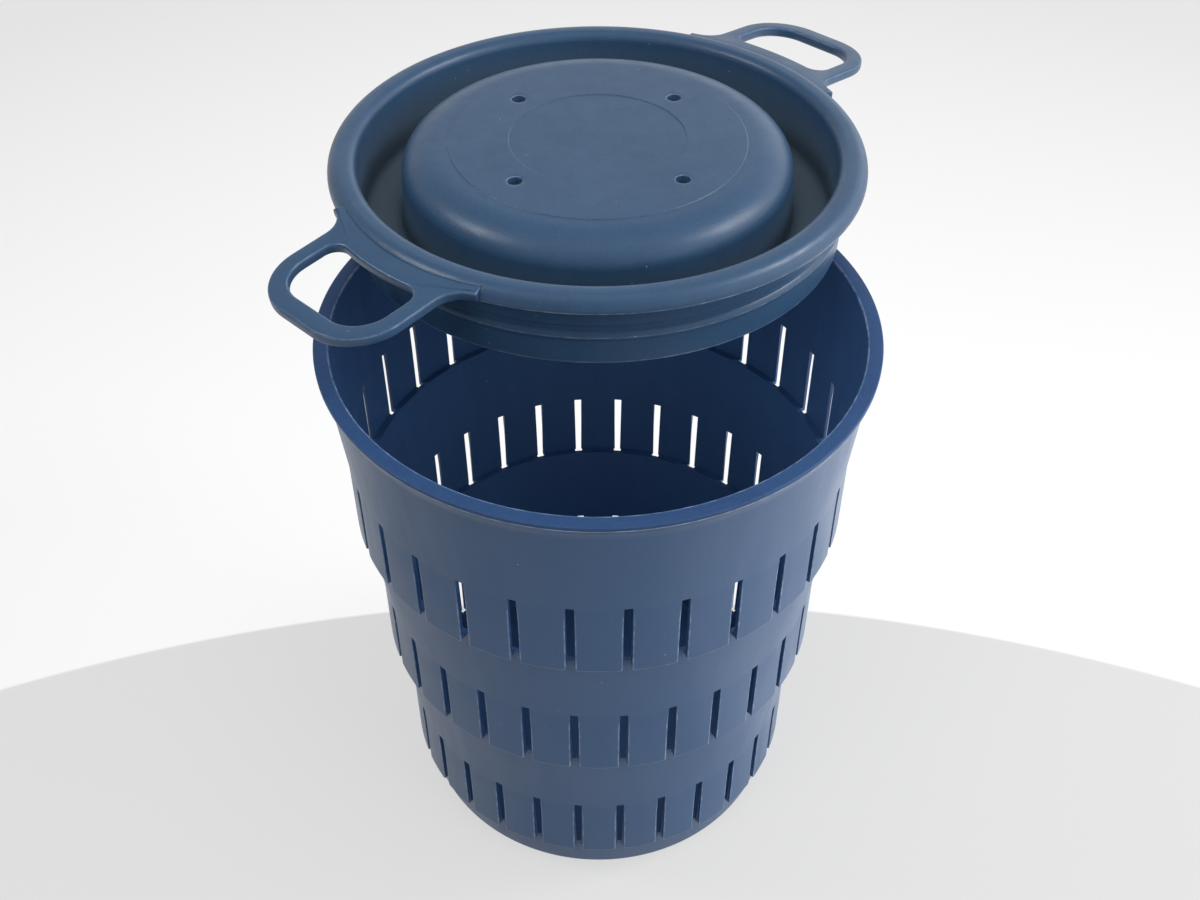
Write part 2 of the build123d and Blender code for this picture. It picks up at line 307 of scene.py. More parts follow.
def pail_rows():
    """All rows, and for each band the numbers of its window rows outside and inside."""
    foot = rounded([(0, 0), (side(0), 0), (side(LOW_SIDE), LOW_SIDE)], [FOOT_ROUNDING])
    parts = [plain_rows(foot[:-1, 1], foot[:-1, 0], LOW_SPREAD)]
    outside, inside = [], []
    bands = [band_rows(top, inset) for top, inset in zip(BAND_TOPS, SILL_INSETS)]
    count = len(parts[0])
    for rows, window in bands:
        outside.append(count + np.flatnonzero(window))
        parts.append(rows)
        count += len(rows)
    parts.append(plain_rows(flare[:, 1], flare[:, 0], RIM_SPREAD))
    last = BAND_TOPS[-1]
    mouth = np.array([side(HEIGHT) - RIM_WALL, HEIGHT])
    throat = np.array([side(last) - BAND_WALL, last])
    rim = rounded(
        [(RIM_RADIUS, RIM_FOOT), (RIM_RADIUS, RIM_FOOT + PARTING_WIDTH), (RIM_RADIUS, HEIGHT),
         mouth + (MOUTH_WIDTH, 0), mouth, mouth + THROAT_SHARE * (throat - mouth), throat],
        [0, RIM_ROUNDING, 0, RIM_ROUNDING, 0],
        steps=RIM_STEPS,
    )[1:-1]
    parts.append(plain_rows(rim[:, 1], rim[:, 0], RIM_SPREAD))
    count += len(flare) + len(rim)
    for (rows, window), top in zip(bands[::-1], BAND_TOPS[::-1]):
        upright = rows[window][::-1].copy()
        upright[:, 1:3] = side(top) - BAND_WALL
        inside.append(count + np.arange(len(upright))[::-1])
        sill, *_, half_window = upright[-1]
        ledge = plain_rows([sill], [side(sill) - BAND_WALL], half_window)
        parts += [upright, ledge]
        count += len(upright) + 1
    low_inside, foot_inside = side([LOW_SIDE, FLOOR]) - BAND_WALL
    corner = rounded([(low_inside, LOW_SIDE), (foot_inside, FLOOR), (0, FLOOR)], [FLOOR_CORNER])[1:]
    parts.append(plain_rows(corner[:, 1], corner[:, 0], LOW_SPREAD))
    return np.concatenate(parts), outside, inside[::-1]


rows, windows_outside, windows_inside = pail_rows()
print("the pail's section has", len(rows), "rows")

# %% [markdown]
# Each row is now carried round the axis. A point that lies a distance w to the side of a slot's
# middle, at a radius r, is turned from that middle by the arcsine of w / r, which keeps the sides of
# a slot parallel, as the cutter that made the mould left them. The edges between a block's face and
# its sides are rounded over less than half a millimetre, and those points get a painted highlight:
# a pale line that stands in for the light the roundings catch.

# %% Carry the rows round the pail
FACE_CELLS = 6               # faces across one block
PINCH_SHARE = 0.3            # how far in the middle point of a pinched edge lies
LEAST_PINCH = 0.1            # mm, below which an edge isn't marked
TINY, WIDEST_TURN = 1e-6, 0.2            # hold the turns down at the middle, where the radius is 0
BLOCK_HIGHLIGHT_MARK = 0.5             # how plain the pale line on a block's upright edge is
PINCHED_COLUMNS, SLOT_COLUMNS = [1, 2, 9, 10], slice(3, 9)


def pail_grid(rows):
    """Points of all rows and columns in millimetres, and the edge and film mark of each point."""
    height, face, floor, slot, window = rows.T[:, :, None]
    pinch = np.minimum(PINCH, (face - floor) / 2)
    bend = PINCH_SHARE * pinch
    half_widths = [window, slot, slot, slot + bend, slot + pinch, slot + pinch + EDGE_LINE]
    half_depths = [floor, floor, face - pinch, face - bend, face, face]
    widths = np.concatenate([-width for width in half_widths[::-1]] + half_widths, axis=1)
    depths = np.concatenate(half_depths[::-1] + half_depths, axis=1)
    turns = np.arcsin(np.clip(widths / np.maximum(depths, TINY), -WIDEST_TURN, WIDEST_TURN))
    pitch = 2 * np.pi / SLOTS
    share = np.arange(1, FACE_CELLS) / FACE_CELLS
    between = turns[:, -1:] + share * (turns[:, :1] + pitch - turns[:, -1:])
    turns = np.concatenate([turns, between], axis=1)
    radii = np.concatenate([depths, np.repeat(face, FACE_CELLS - 1, axis=1)], axis=1)
    turns = (turns[:, None, :] + pitch * np.arange(SLOTS)[None, :, None]).reshape(len(rows), -1)
    radii = np.tile(radii, (1, SLOTS))
    heights = np.broadcast_to(height, radii.shape)
    points = np.stack([radii * np.cos(turns), radii * np.sin(turns), heights], axis=-1)
    edge = np.zeros((len(rows), widths.shape[1] + FACE_CELLS - 1))
    # painted highlight along the blocks' rounded upright edges
    edge[:, PINCHED_COLUMNS] = BLOCK_HIGHLIGHT_MARK * (pinch > LEAST_PINCH)
    film = np.ones(edge.shape)
    film[:, SLOT_COLUMNS] -= pinch > LEAST_PINCH
    return points, np.tile(edge, (1, SLOTS)), np.tile(film, (1, SLOTS))


pail_points, pail_edge, pail_film = pail_grid(rows)
COLUMNS = pail_points.shape[1]
print("grid of", pail_points.shape[:2], "points, the highest at", pail_points[..., 2].max(), "mm")

# %% [markdown]
# The windows are holes in both skins, so the faces between their columns and rows are left out, and
# strips line the way through the wall. Reading the outside row and the inside row of the same height
# side by side gives each strip, with its corners in the order that faces the opening.
#
# The sill needs more care. There the upright blocks stand further out than the plain ring below them,
# so the slot's floor turns in over the ring's top edge, and the thin webs beside the window end in
# the open. The faces next to a sill get extra corners, so that each edge is shared by just two faces.
# Of the columns of one slot, 0 to 4 lead from the left block's edge down the slot's left side, 5 and
# 6 are the window's sides, 7 to 11 lead up to the right block, and 12 to 16 cross its face.

# %% Cut and line the windows
WINDOW_COLUMN = 5
SIDE_COLUMNS, WEB_COLUMNS = (3, 7), (4, 6)           # a slot's sides, and the webs beside its window
FLOOR_COLUMNS, BLOCK_COLUMNS = range(4, 7), range(11, 17)


def pail_faces():
    """Faces of the pail, as lists of point numbers, with its windows cut and lined."""
    numbers = np.arange(len(rows) * COLUMNS).reshape(len(rows), COLUMNS)
    faces = grid_faces(numbers)
    first = np.arange(SLOTS) * (COLUMNS // SLOTS)
    left, right = first + WINDOW_COLUMN, first + WINDOW_COLUMN + 1
    quads, extra = [], []
    for outer, inner in zip(windows_outside, windows_inside):
        web, low_in, ring = outer[0], inner[0], inner[0] + 1
        floor, below = web - 1, web - 2
        faces[outer.min():outer.max(), left] = -1
        faces[inner.min():inner.max(), left] = -1
        faces[[floor, low_in]] = -1
        for column in SIDE_COLUMNS:
            faces[below, first + column] = -1
        low, high = outer[:-1, None], outer[1:, None]
        back_low, back_high = inner[:-1, None], inner[1:, None]
        top, back_top = outer[-1:], inner[-1:]
        strips = [
            [(high, left), (low, left), (back_low, left), (back_high, left)],
            [(low, right), (high, right), (back_high, right), (back_low, right)],
            [(top, right), (top, left), (back_top, left), (back_top, right)],
        ]
        for near, far, columns in (
            (floor, ring, FLOOR_COLUMNS), (low_in, web, WEB_COLUMNS), (low_in, ring, BLOCK_COLUMNS),
        ):
            for column in columns:
                here, ahead = first + column, (first + column + 1) % COLUMNS
                strips.append([(near, here), (near, ahead), (far, ahead), (far, here)])
        for strip in strips:
            quads.append(np.stack([numbers[corner] for corner in strip], axis=-1).reshape(-1, 4))
        extra += [
            [(below, 3), (below, 4), (floor, 4), (low_in, 4), (web, 4), (floor, 3)],
            [(below, 7), (below, 8), (floor, 8), (web, 7), (low_in, 7), (floor, 7)],
            [(low_in, 0), (low_in, 1), (floor, 4), (ring, 1), (ring, 0)],
            [(low_in, 10), (low_in, 11), (ring, 11), (ring, 10), (floor, 7)],
        ]
    faces = faces.reshape(-1, 4)
    polygons = [
        np.stack([numbers[row, first + column] for row, column in corners], axis=-1).tolist()
        for corners in extra
    ]
    return np.concatenate([faces[faces[:, 0] >= 0], *quads]).tolist() + sum(polygons, [])


pail_polygons = pail_faces()
print("the pail has", len(pail_polygons), "faces before it is welded")

# %% [markdown]
# Plastic that is bent, pinched or scraped turns pale, and it collects dull scuffs wherever hands and
# decks touch it. So the rows where the two halves of the mould met get an edge mark that makes a
# heavy pale line of pinched-off flash. The upright edge of the rim above it is darkened as painted
# shade, and the flat of the rim is a shade darker too. The mouth's inner edge and the blocks' feet get
# a weaker pale line, which is a painted highlight on their roundings. The film mark is full outside,
# weak inside, and absent on the rim and in the slots.

# %% Mark the edges and make the pail
PARTING_MARK, UPRIGHT_SHADE_MARK, RIM_MARK, MOUTH_HIGHLIGHT_MARK, LEDGE_HIGHLIGHT_MARK = 2.0, -0.4, -0.18, 0.4, 0.6
UPRIGHT_ROWS = [1, 2]        # rows over the moulding line, at the ends of the rim's upright edge
LEDGE_ROWS = [6, 5]          # rows under a band's first window row that lie on the blocks' lower edge
INSIDE_FILM = 0.35
FILM_END = 1.0               # mm under the top of the rim, above which there is no film
NEAR, MOUTH_REACH = 0.01, 0.7            # mm, how near a row lies that is on an edge or beside it


def rows_near(height, radius, reach):
    """Numbers of the rows of the section that lie within a reach of a height and a radius."""
    return np.flatnonzero(np.hypot(rows[:, 0] - height, rows[:, 1] - radius) < reach)


parting = rows_near(RIM_FOOT, RIM_RADIUS, NEAR)
pail_edge[parting] = PARTING_MARK
# painted shade on the rim's upright edge, mixed towards black
pail_edge[parting.max() + UPRIGHT_ROWS] = UPRIGHT_SHADE_MARK
pail_edge[rows[:, 0] > HEIGHT - NEAR] = RIM_MARK
# painted highlight on the mouth's rounded inner edge
pail_edge[rows_near(HEIGHT, side(HEIGHT) - RIM_WALL, MOUTH_REACH)] = MOUTH_HIGHLIGHT_MARK
pail_film[parting.min() + 1:] = INSIDE_FILM
pail_film[rows[:, 0] > HEIGHT - FILM_END] = 0.0
across_slot = np.arange(COLUMNS) % (COLUMNS // SLOTS)
on_block = np.flatnonzero((across_slot <= SIDE_COLUMNS[0]) | (across_slot > SIDE_COLUMNS[1]))
for web_rows in windows_outside:
    # painted highlight along the blocks' rounded lower edges
    pail_edge[np.ix_(web_rows[0] - LEDGE_ROWS, on_block)] = LEDGE_HIGHLIGHT_MARK
pail_marks = np.stack([pail_edge, pail_film], axis=-1).reshape(-1, 2)
pail = make_piece(
    "slotted_pail", pail_points.reshape(-1, 3), pail_polygons, pail_marks, "bucket", "bucket", "pail"
)

# %% [markdown]
# ## The lid
#
# The lid is a softer moulding. From the middle outwards it is a raised cup with a low raised ring
# and four vents, a deep trough, a thick rolled bead, and a plug below it with a seal band and a ring
# bead. It is round, apart from the vents and the two rebates that hold the loops. So it is one
# section carried round an axis, whose points slide where a rebate interrupts the bead.

# %% Sizes of the lid, in millimetres, with depths below its flat top
SEAL_PLAY, SEAL_STEP, PLUG_WALL = 0.5, 2.4, 5.0
TROUGH_WIDTH, CUP_LEAN, CUP_WALL = 18.6, 1.5, 4.0
SHOULDER_WIDTH, SHOULDER_HEIGHT = 19.0, 13.0
SEAL_RADIUS = side(HEIGHT) - RIM_WALL - SEAL_PLAY
NECK_RADIUS = SEAL_RADIUS - SEAL_STEP
TROUGH_RADIUS = NECK_RADIUS - PLUG_WALL
CUP_RADIUS = TROUGH_RADIUS - TROUGH_WIDTH
SHOULDER_RADIUS = CUP_RADIUS - CUP_LEAN
FLAT_RADIUS = SHOULDER_RADIUS - SHOULDER_WIDTH
PLUG_RADIUS = CUP_RADIUS - CUP_WALL
BEAD_RADIUS = RIM_RADIUS
BEAD_WIDTH, BEAD_CROWN, BEAD_SEAT = 13.8, 2.4, 10.0
BEAD_OUTER, BEAD_INNER, BEAD_LIP = 6.5, 4.9, 0.6
SEAL_DEPTH, SKIRT_DEPTH, TROUGH_DEPTH = 21.4, 44.0, 39.6
RING_BEAD_DEPTH, RING_BEAD, RING_BEAD_INSET, RING_BEAD_RUN = 28.4, 2.9, 1.5, 3.0
SKIRT_INNER, SKIRT_OUTER, SEAL_ROUNDING, TROUGH_ROUNDING = 1.0, 2.0, 1.0, 5.0
RING_INSET, RING_WIDTH, RING_RISE, RING_SLOPE = 3.6, 29.7, 0.35, 0.5
VENT_INSET, VENT_RADIUS, VENT_ROUNDING = 17.4, 3.5, 0.6
RING_OUTER = FLAT_RADIUS - RING_INSET
RING_INNER = RING_OUTER - RING_WIDTH
VENT_CIRCLE = RING_OUTER - VENT_INSET
print("radii of cup, flat top, vents:", np.round([CUP_RADIUS, FLAT_RADIUS, VENT_CIRCLE], 1))

# %% [markdown]
# The lid lies slid to the rear, a little turned, and tipped back by two degrees. Its surface is worked
# out about its own axis, where it is simple, and then turned and moved to its place as a whole. The
# turn about the axis comes first and the tip about the X axis second, which is the order in which the
# packed lid was placed.

# %% Place of the lid
LID_PLACE = np.array([0.0, 86.0, 345.471])
LID_TIP, LID_TURN = np.radians(-2.0), np.radians(0.8)


def turned(angle, first, second):
    """Matrix that turns the first axis towards the second: cosines on their diagonal, sines off it."""
    matrix = np.eye(3)
    matrix[[first, second], [first, second]] = np.cos(angle)
    matrix[[first, second], [second, first]] = -np.sin(angle), np.sin(angle)
    return matrix


def placed(points):
    """Points about the lid's own axis, turned about Z, tipped about X and moved to the lid's place."""
    return points @ (turned(LID_TIP, 1, 2) @ turned(LID_TURN, 0, 1)).T + LID_PLACE


low, high = (np.array(corner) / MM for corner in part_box("lid"))
print("the packed lid spans", low.round(1), "to", high.round(1))

# %% [markdown]
# The section is listed from the middle of the underside, down to the plug's foot, up its outside,
# over the bead, through the trough and up to the flat top. The cup's shoulder is a quarter of an
# ellipse, wider than it is high. In the band of the vents, the top and the underside have rows at
# the same radii, because each vent's skin has to meet both.

# %% Section of the lid
VENT_REACH, VENT_STEPS = 9.0, 7          # mm to each side of the vents' circle, and rows in that band
VENT_ROWS = np.linspace(VENT_CIRCLE - VENT_REACH, VENT_CIRCLE + VENT_REACH, VENT_STEPS)
SHOULDER_STEPS, UNDER_STEPS, TROUGH_STEPS = 16, 8, 7
BEAD_STEPS, LIP_STEPS, RING_BEAD_STEPS = 10, 4, 12
FLASH_MARK, CREST_HIGHLIGHT_MARK, SKIRT_HIGHLIGHT_MARK = 1.0, 0.8, 0.7   # under the bead, on the ring bead, at the foot
FILM_LINE, FILM_FADE = 8.0, 18.0         # depth where the trough's dust starts, and how soon it is full


def shoulder(width, height, steps):
    """Quarter of an ellipse about (flat radius, minus shoulder height): cosine across, sine up."""
    turns = np.linspace(0, np.pi / 2, steps + 1)
    middle = np.array([FLAT_RADIUS, -SHOULDER_HEIGHT])
    return middle + np.column_stack([width * np.cos(turns), height * np.sin(turns)])


def lid_section():
    """Points (radius, height) of the section, their marks, and the numbers of each part's rows."""
    under = side_by_side(0, VENT_ROWS, FLAT_RADIUS)
    under_side = shoulder(SHOULDER_WIDTH - CUP_WALL, SHOULDER_HEIGHT - CUP_WALL, UNDER_STEPS)[::-1]
    skirt = rounded(
        [(SHOULDER_RADIUS - CUP_WALL, -SHOULDER_HEIGHT), (PLUG_RADIUS, -SKIRT_DEPTH),
         (NECK_RADIUS, -SKIRT_DEPTH), (NECK_RADIUS, -RING_BEAD_DEPTH - RING_BEAD_RUN)],
        [SKIRT_INNER, SKIRT_OUTER],
    )[1:-1]
    reach = np.degrees(np.arccos(RING_BEAD_INSET / RING_BEAD))
    ring_middle = (NECK_RADIUS - RING_BEAD_INSET, -RING_BEAD_DEPTH)
    ring_bead = arc(ring_middle, RING_BEAD, -reach, reach, RING_BEAD_STEPS)
    seal = rounded(
        [(NECK_RADIUS, -RING_BEAD_DEPTH + RING_BEAD_RUN), (NECK_RADIUS, -SEAL_DEPTH),
         (SEAL_RADIUS, -SEAL_DEPTH), (SEAL_RADIUS, -BEAD_SEAT)],
        [0, SEAL_ROUNDING],
    )[1:]
    lip = arc((BEAD_RADIUS - BEAD_LIP, -BEAD_SEAT + BEAD_LIP), BEAD_LIP, -90, 0, LIP_STEPS)
    bead = arc((BEAD_RADIUS - BEAD_OUTER, -BEAD_CROWN - BEAD_OUTER), BEAD_OUTER, 0, 90, BEAD_STEPS)
    trough = rounded(
        [(BEAD_RADIUS - BEAD_OUTER, -BEAD_CROWN), (BEAD_RADIUS - BEAD_WIDTH, -BEAD_CROWN),
         (TROUGH_RADIUS, -TROUGH_DEPTH), (CUP_RADIUS, -TROUGH_DEPTH),
         (SHOULDER_RADIUS, -SHOULDER_HEIGHT)],
        [BEAD_INNER, TROUGH_ROUNDING, TROUGH_ROUNDING],
        steps=TROUGH_STEPS,
    )[1:-1]
    over = shoulder(SHOULDER_WIDTH, SHOULDER_HEIGHT, SHOULDER_STEPS)
    top = np.array([
        (RING_OUTER, 0), (RING_OUTER - RING_SLOPE, RING_RISE),
        *[(radius, RING_RISE) for radius in VENT_ROWS[::-1]],
        (RING_INNER + RING_SLOPE, RING_RISE), (RING_INNER, 0), (0, 0),
    ])
    parts = {
        "under": np.column_stack([under, np.full(len(under), -CUP_WALL)]), "side": under_side[1:],
        "skirt": skirt, "ring bead": ring_bead, "seal": seal, "lip": lip, "bead": bead,
        "trough": trough, "over": over, "top": top,
    }
    section = np.concatenate(list(parts.values()))
    ends = np.cumsum([len(part) for part in parts.values()])
    numbers = {name: end - np.arange(len(parts[name]), 0, -1) for name, end in zip(parts, ends)}
    marks = np.zeros((len(section), 2))
    marks[numbers["lip"][1:], 0] = FLASH_MARK
    # painted highlight along the ring bead's crest
    marks[numbers["ring bead"][len(ring_bead) // 2], 0] = CREST_HIGHLIGHT_MARK
    # painted highlight along the plug's rounded foot
    marks[numbers["skirt"][len(skirt) // 2:-1], 0] = SKIRT_HIGHLIGHT_MARK
    marks[numbers["trough"], 1] = np.clip((-trough[:, 1] - FILM_LINE) / FILM_FADE, 0, 1)
    return section, marks, numbers


section, lid_marks, lid_rows = lid_section()
lip_rows, bead_rows = lid_rows["lip"], lid_rows["bead"]
under_vents, top_vents = lid_rows["under"][1:-1], lid_rows["top"][2:2 + VENT_STEPS]
print("the lid's section has", len(section), "points")

# %% [markdown]
# Each loop's root sits in a rebate under the bead's edge, so the lid can't be drawn before the loops
# have their sizes. The gap is wide enough for three fingers. The neck's rounding touches the root's
# strip at an angle whose sine is the distance from the rounding's centre to the loop's middle line,
# divided by the distance from that centre to the lid's axis.

# %% Sizes of the loops, in millimetres
LOOP_ANGLES = {"front_left_handle": 225, "rear_right_handle": 45}
GAP_LENGTH, GAP_HALF, GAP_TIP_CORNER, GAP_ROOT_CORNER = 33.5, 28.5, 17.0, 7.0
WEB, TIP_WIDTH, SIDE_WIDTH, NECK_CORNER = 7.0, 10.0, 8.5, 13.5
THICKNESS, LOOP_ROUNDING = 5.2, 1.5
ROOT_DEPTH, ROOT_LIP, ROOT_SEAT, ROOT_END = 4.8, 2.5, 3.0, 2.45
DROOP = np.radians(6.3)
SEAM = 0.25
SEAT_RADIUS = BEAD_RADIUS - ROOT_SEAT
STRIP_RADIUS = BEAD_RADIUS + ROOT_LIP
GAP_RADIUS = STRIP_RADIUS + WEB
LOOP_HALF = GAP_HALF + SIDE_WIDTH
NECK_ANGLE = np.degrees(np.arcsin((LOOP_HALF + NECK_CORNER) / (STRIP_RADIUS + NECK_CORNER)))
ROOT_ANGLE = NECK_ANGLE + np.degrees(ROOT_END / STRIP_RADIUS)
LOOP_TIP = GAP_RADIUS + GAP_LENGTH + TIP_WIDTH - SEAT_RADIUS
print("a loop reaches", round(float(LOOP_TIP - ROOT_LIP - ROOT_SEAT), 1), "mm out of its root strip")

# %% [markdown]
# Over the stretch of a rebate, the lid's skin follows the bead down only as far as the loop's top
# face, then goes in along that face and down the seat. The loop droops, so its top face is a sloping
# plane: its height falls by the slope times the distance out along the loop. A quarter of a
# millimetre is left all round as the dark seam.

# %% Carry the section round the lid
NUDGE = 1e-7                             # degrees between the two columns at a rebate's end
CEILING_INSET = 1.4                      # mm in from the bead's edge, where its skin meets the rebate


def loop_top(radius, turn):
    """Height of the plane of a loop's top face, at a radius and a turn from the loop's middle."""
    return -ROOT_DEPTH - (radius * np.cos(turn) - SEAT_RADIUS) * np.tan(DROOP)


def lid_columns():
    """Angles of the columns, each one's turn from its loop's middle, and which are rebated."""
    angles, turns, rebated = [np.arange(360.0)], [np.full(360, np.nan)], [np.zeros(360, bool)]
    reach = ROOT_ANGLE + np.degrees(SEAM / SEAT_RADIUS)
    for middle in LOOP_ANGLES.values():
        away = (angles[0] - middle + 180) % 360 - 180
        inside = np.abs(away) < reach
        turns[0][inside], rebated[0][inside] = away[inside], True
        for end in (-reach, reach):
            nudge = np.sign(end) * NUDGE
            angles.append([middle + end - nudge, middle + end + nudge])
            turns.append([end, np.nan])
            rebated.append([True, False])
    angles, turns, rebated = (np.concatenate(part) for part in (angles, turns, rebated))
    order = np.argsort(angles)
    return np.radians(angles[order]), np.radians(turns[order]), rebated[order].astype(bool)


def lid_grid():
    """Points of the lid about its own axis, with the bead's rows slid into the rebates."""
    angles, turns, rebated = lid_columns()
    radii = np.repeat(section[:, :1], len(angles), axis=1)
    heights = np.repeat(section[:, 1:], len(angles), axis=1)
    turn = turns[rebated]
    ceiling_in = loop_top(SEAT_RADIUS, turn) + SEAM
    ceiling_out = loop_top(BEAD_RADIUS - CEILING_INSET, turn) + SEAM
    start = np.arcsin((ceiling_out + BEAD_CROWN + BEAD_OUTER) / BEAD_OUTER)
    share = np.linspace(0, 1, len(bead_rows))[:, None]
    sweep = start + share * (np.pi / 2 - start)
    radii[np.ix_(bead_rows, rebated)] = BEAD_RADIUS - BEAD_OUTER + BEAD_OUTER * np.cos(sweep)
    heights[np.ix_(bead_rows, rebated)] = -BEAD_CROWN - BEAD_OUTER + BEAD_OUTER * np.sin(sweep)
    climb = np.linspace(0, 1, len(lip_rows))[:, None]
    seat_height = -BEAD_SEAT + climb * (ceiling_in + BEAD_SEAT)
    radii[np.ix_(lip_rows, rebated)] = SEAT_RADIUS - SEAM + (seat_height - ceiling_in) * np.tan(DROOP)
    heights[np.ix_(lip_rows, rebated)] = seat_height
    points = np.stack([radii * np.cos(angles), radii * np.sin(angles), heights], axis=-1)
    mark = np.repeat(lid_marks[:, None, :], len(angles), axis=1)
    mark[np.ix_(lip_rows, rebated)] = 0
    return points, mark, angles


lid_points, lid_point_marks, lid_angles = lid_grid()
print("grid of", lid_points.shape[:2], "points for the lid")

# %% [markdown]
# A round vent doesn't follow the rows and columns of the lid. So a block of faces is left out of the
# top and of the underside, and the hole's own skin fills the gap: a strip of rings that begins as the
# block's outline, shrinks to a circle, rounds over the edge, goes down the bore and opens out again
# to the outline below. Each ring point slides straight towards the vent's middle.

# %% Skins of the vents
VENT_ANGLES, VENT_TURN = (45, 135, 225, 315), 9.01   # degrees; the block of a vent spans twice the turn
VENT_HIGHLIGHT_MARK = 0.6


def block_outline(block):
    """Numbers round the edge of a block of rows and columns, once round, without repeating one."""
    return np.concatenate([block[0, :-1], block[:-1, -1], block[-1, :0:-1], block[:0:-1, 0]])


def circle_below(outline, middle, radius, height):
    """Ring of a radius about a vent's middle, each point in line with its point of the outline."""
    away = outline[:, :2] - middle
    away /= np.linalg.norm(away, axis=1, keepdims=True)
    return np.column_stack([middle + radius * away, np.full(len(outline), height)])


def vent_skin(top_outline, low_outline, angle):
    """Rings from the outline in the top, down the bore, to the outline in the underside."""
    middle = VENT_CIRCLE * np.array([np.cos(angle), np.sin(angle)])
    mouth, *bend = (
        circle_below(
            top_outline, middle, VENT_RADIUS + VENT_ROUNDING * (1 - np.sin(turn)),
            RING_RISE - VENT_ROUNDING * (1 - np.cos(turn)),
        )
        for turn in QUARTER
    )
    foot = circle_below(top_outline, middle, VENT_RADIUS, -CUP_WALL)
    return np.stack([
        top_outline, (2 * top_outline + mouth) / 3, (top_outline + 2 * mouth) / 3, mouth,
        *bend, foot, (foot + low_outline) / 2, low_outline,
    ])


def lid_mesh():
    """All points, faces and marks of the lid, with its four vents."""
    shape = lid_points.shape[:2]
    numbers = np.arange(shape[0] * shape[1]).reshape(shape)
    faces = grid_faces(numbers)
    points, marks = [lid_points.reshape(-1, 3)], [lid_point_marks.reshape(-1, 2)]
    flat, skins = points[0], []
    for middle in VENT_ANGLES:
        columns = np.flatnonzero(np.abs(np.degrees(lid_angles) - middle) < VENT_TURN)
        for vent_rows in (under_vents, top_vents):
            faces[vent_rows.min():vent_rows.max(), columns.min():columns.max()] = -1
        top_loop = block_outline(numbers[np.ix_(top_vents, columns)])
        under_loop = block_outline(numbers[np.ix_(under_vents[::-1], columns)])
        rings = vent_skin(flat[top_loop], flat[under_loop], np.radians(middle))
        first = sum(len(part) for part in points)
        numbers_here = first + np.arange(rings.shape[0] * rings.shape[1])
        skins.append(grid_faces(numbers_here.reshape(rings.shape[:2])))
        ring_marks = np.zeros((*rings.shape[:2], 2))
        # painted highlight on the vent's rounded edge
        ring_marks[4:6, :, 0] = VENT_HIGHLIGHT_MARK        # the two rows in the middle of the rounding
        points.append(rings.reshape(-1, 3))
        marks.append(ring_marks.reshape(-1, 2))
    faces = faces.reshape(-1, 4)
    faces = np.concatenate([faces[faces[:, 0] >= 0]] + [skin.reshape(-1, 4) for skin in skins])
    return placed(np.concatenate(points)), faces.tolist(), np.concatenate(marks)


lid = make_piece("vented_lid", *lid_mesh(), "lid", "lid", "lid")

# %% [markdown]
# ## The finger loops
#
# A loop is a strap of even thickness that runs round the finger gap, with an arc-shaped root. Both
# its outlines, the outer one and the gap's, are made of the same number of arcs with the same number
# of points, so point i of one faces point i of the other. The strap's section is then carried round
# between them: up the outer side, over a rounded edge, across the top, down the gap's side and back.

# %% Outlines of a loop, on its own sloping plane
ROOT_GAP = 0.1                           # mm between the root and the seat of its rebate
SEAT_STEPS, STRIP_STEPS, NECK_STEPS, TIP_STEPS = 24, 2, 12, 16
SEAT_SHARE = 0.8                         # of the gap's root arc, matched to the root's seat
STRIP_START, STRIP_END = 0.82, 0.98      # the stretch of that arc matched to the root's square end


def loop_outlines():
    """The outer outline and the gap's, as matching arcs. The lid's axis is at (-seat radius, 0)."""
    axis = np.array([-SEAT_RADIUS, 0.0])
    neck_turn = np.radians(NECK_ANGLE)
    neck = axis + (STRIP_RADIUS + NECK_CORNER) * np.array([np.cos(neck_turn), np.sin(neck_turn)])
    tip_corner = GAP_TIP_CORNER + TIP_WIDTH
    tip = np.array([LOOP_TIP - tip_corner, LOOP_HALF - tip_corner])
    root_reach = GAP_RADIUS + GAP_ROOT_CORNER
    root_half = GAP_HALF - GAP_ROOT_CORNER
    root_angle = np.degrees(np.arcsin(root_half / root_reach))
    root = np.array([np.sqrt(root_reach**2 - root_half**2) - SEAT_RADIUS, root_half])
    gap_tip = np.array([LOOP_TIP - TIP_WIDTH - GAP_TIP_CORNER, GAP_HALF - GAP_TIP_CORNER])
    halves = [
        np.concatenate([
            arc(axis, SEAT_RADIUS + ROOT_GAP, 0, ROOT_ANGLE, SEAT_STEPS),
            arc(axis, STRIP_RADIUS, ROOT_ANGLE, NECK_ANGLE, STRIP_STEPS),
            arc(neck, NECK_CORNER, 180 + NECK_ANGLE, 270, NECK_STEPS),
            arc(tip, tip_corner, 90, 0, TIP_STEPS),
        ]),
        np.concatenate([
            arc(axis, GAP_RADIUS, 0, root_angle * SEAT_SHARE, SEAT_STEPS),
            arc(axis, GAP_RADIUS, root_angle * STRIP_START, root_angle * STRIP_END, STRIP_STEPS),
            arc(root, GAP_ROOT_CORNER, 180 + root_angle, 90, NECK_STEPS),
            arc(gap_tip, GAP_TIP_CORNER, 90, 0, TIP_STEPS),
        ]),
    ]
    mirror = np.array([1, -1])
    return tuple(np.concatenate([half, (half * mirror)[::-1][:-1]])[::-1] for half in halves)


outer_line, gap_line = loop_outlines()
gap_size = gap_line.max(0) - gap_line.min(0)
print("each outline has", len(outer_line), "points, and the gap is", gap_size.round(1), "mm")

# %% [markdown]
# To round the edges, each outline is moved inwards across itself. At a point, the shift lies along
# the sum of the two neighbouring runs' normals, lengthened so that both runs move by the full
# distance. The rounding fades out at the root, because an edge that is bedded in the bead stays sharp.

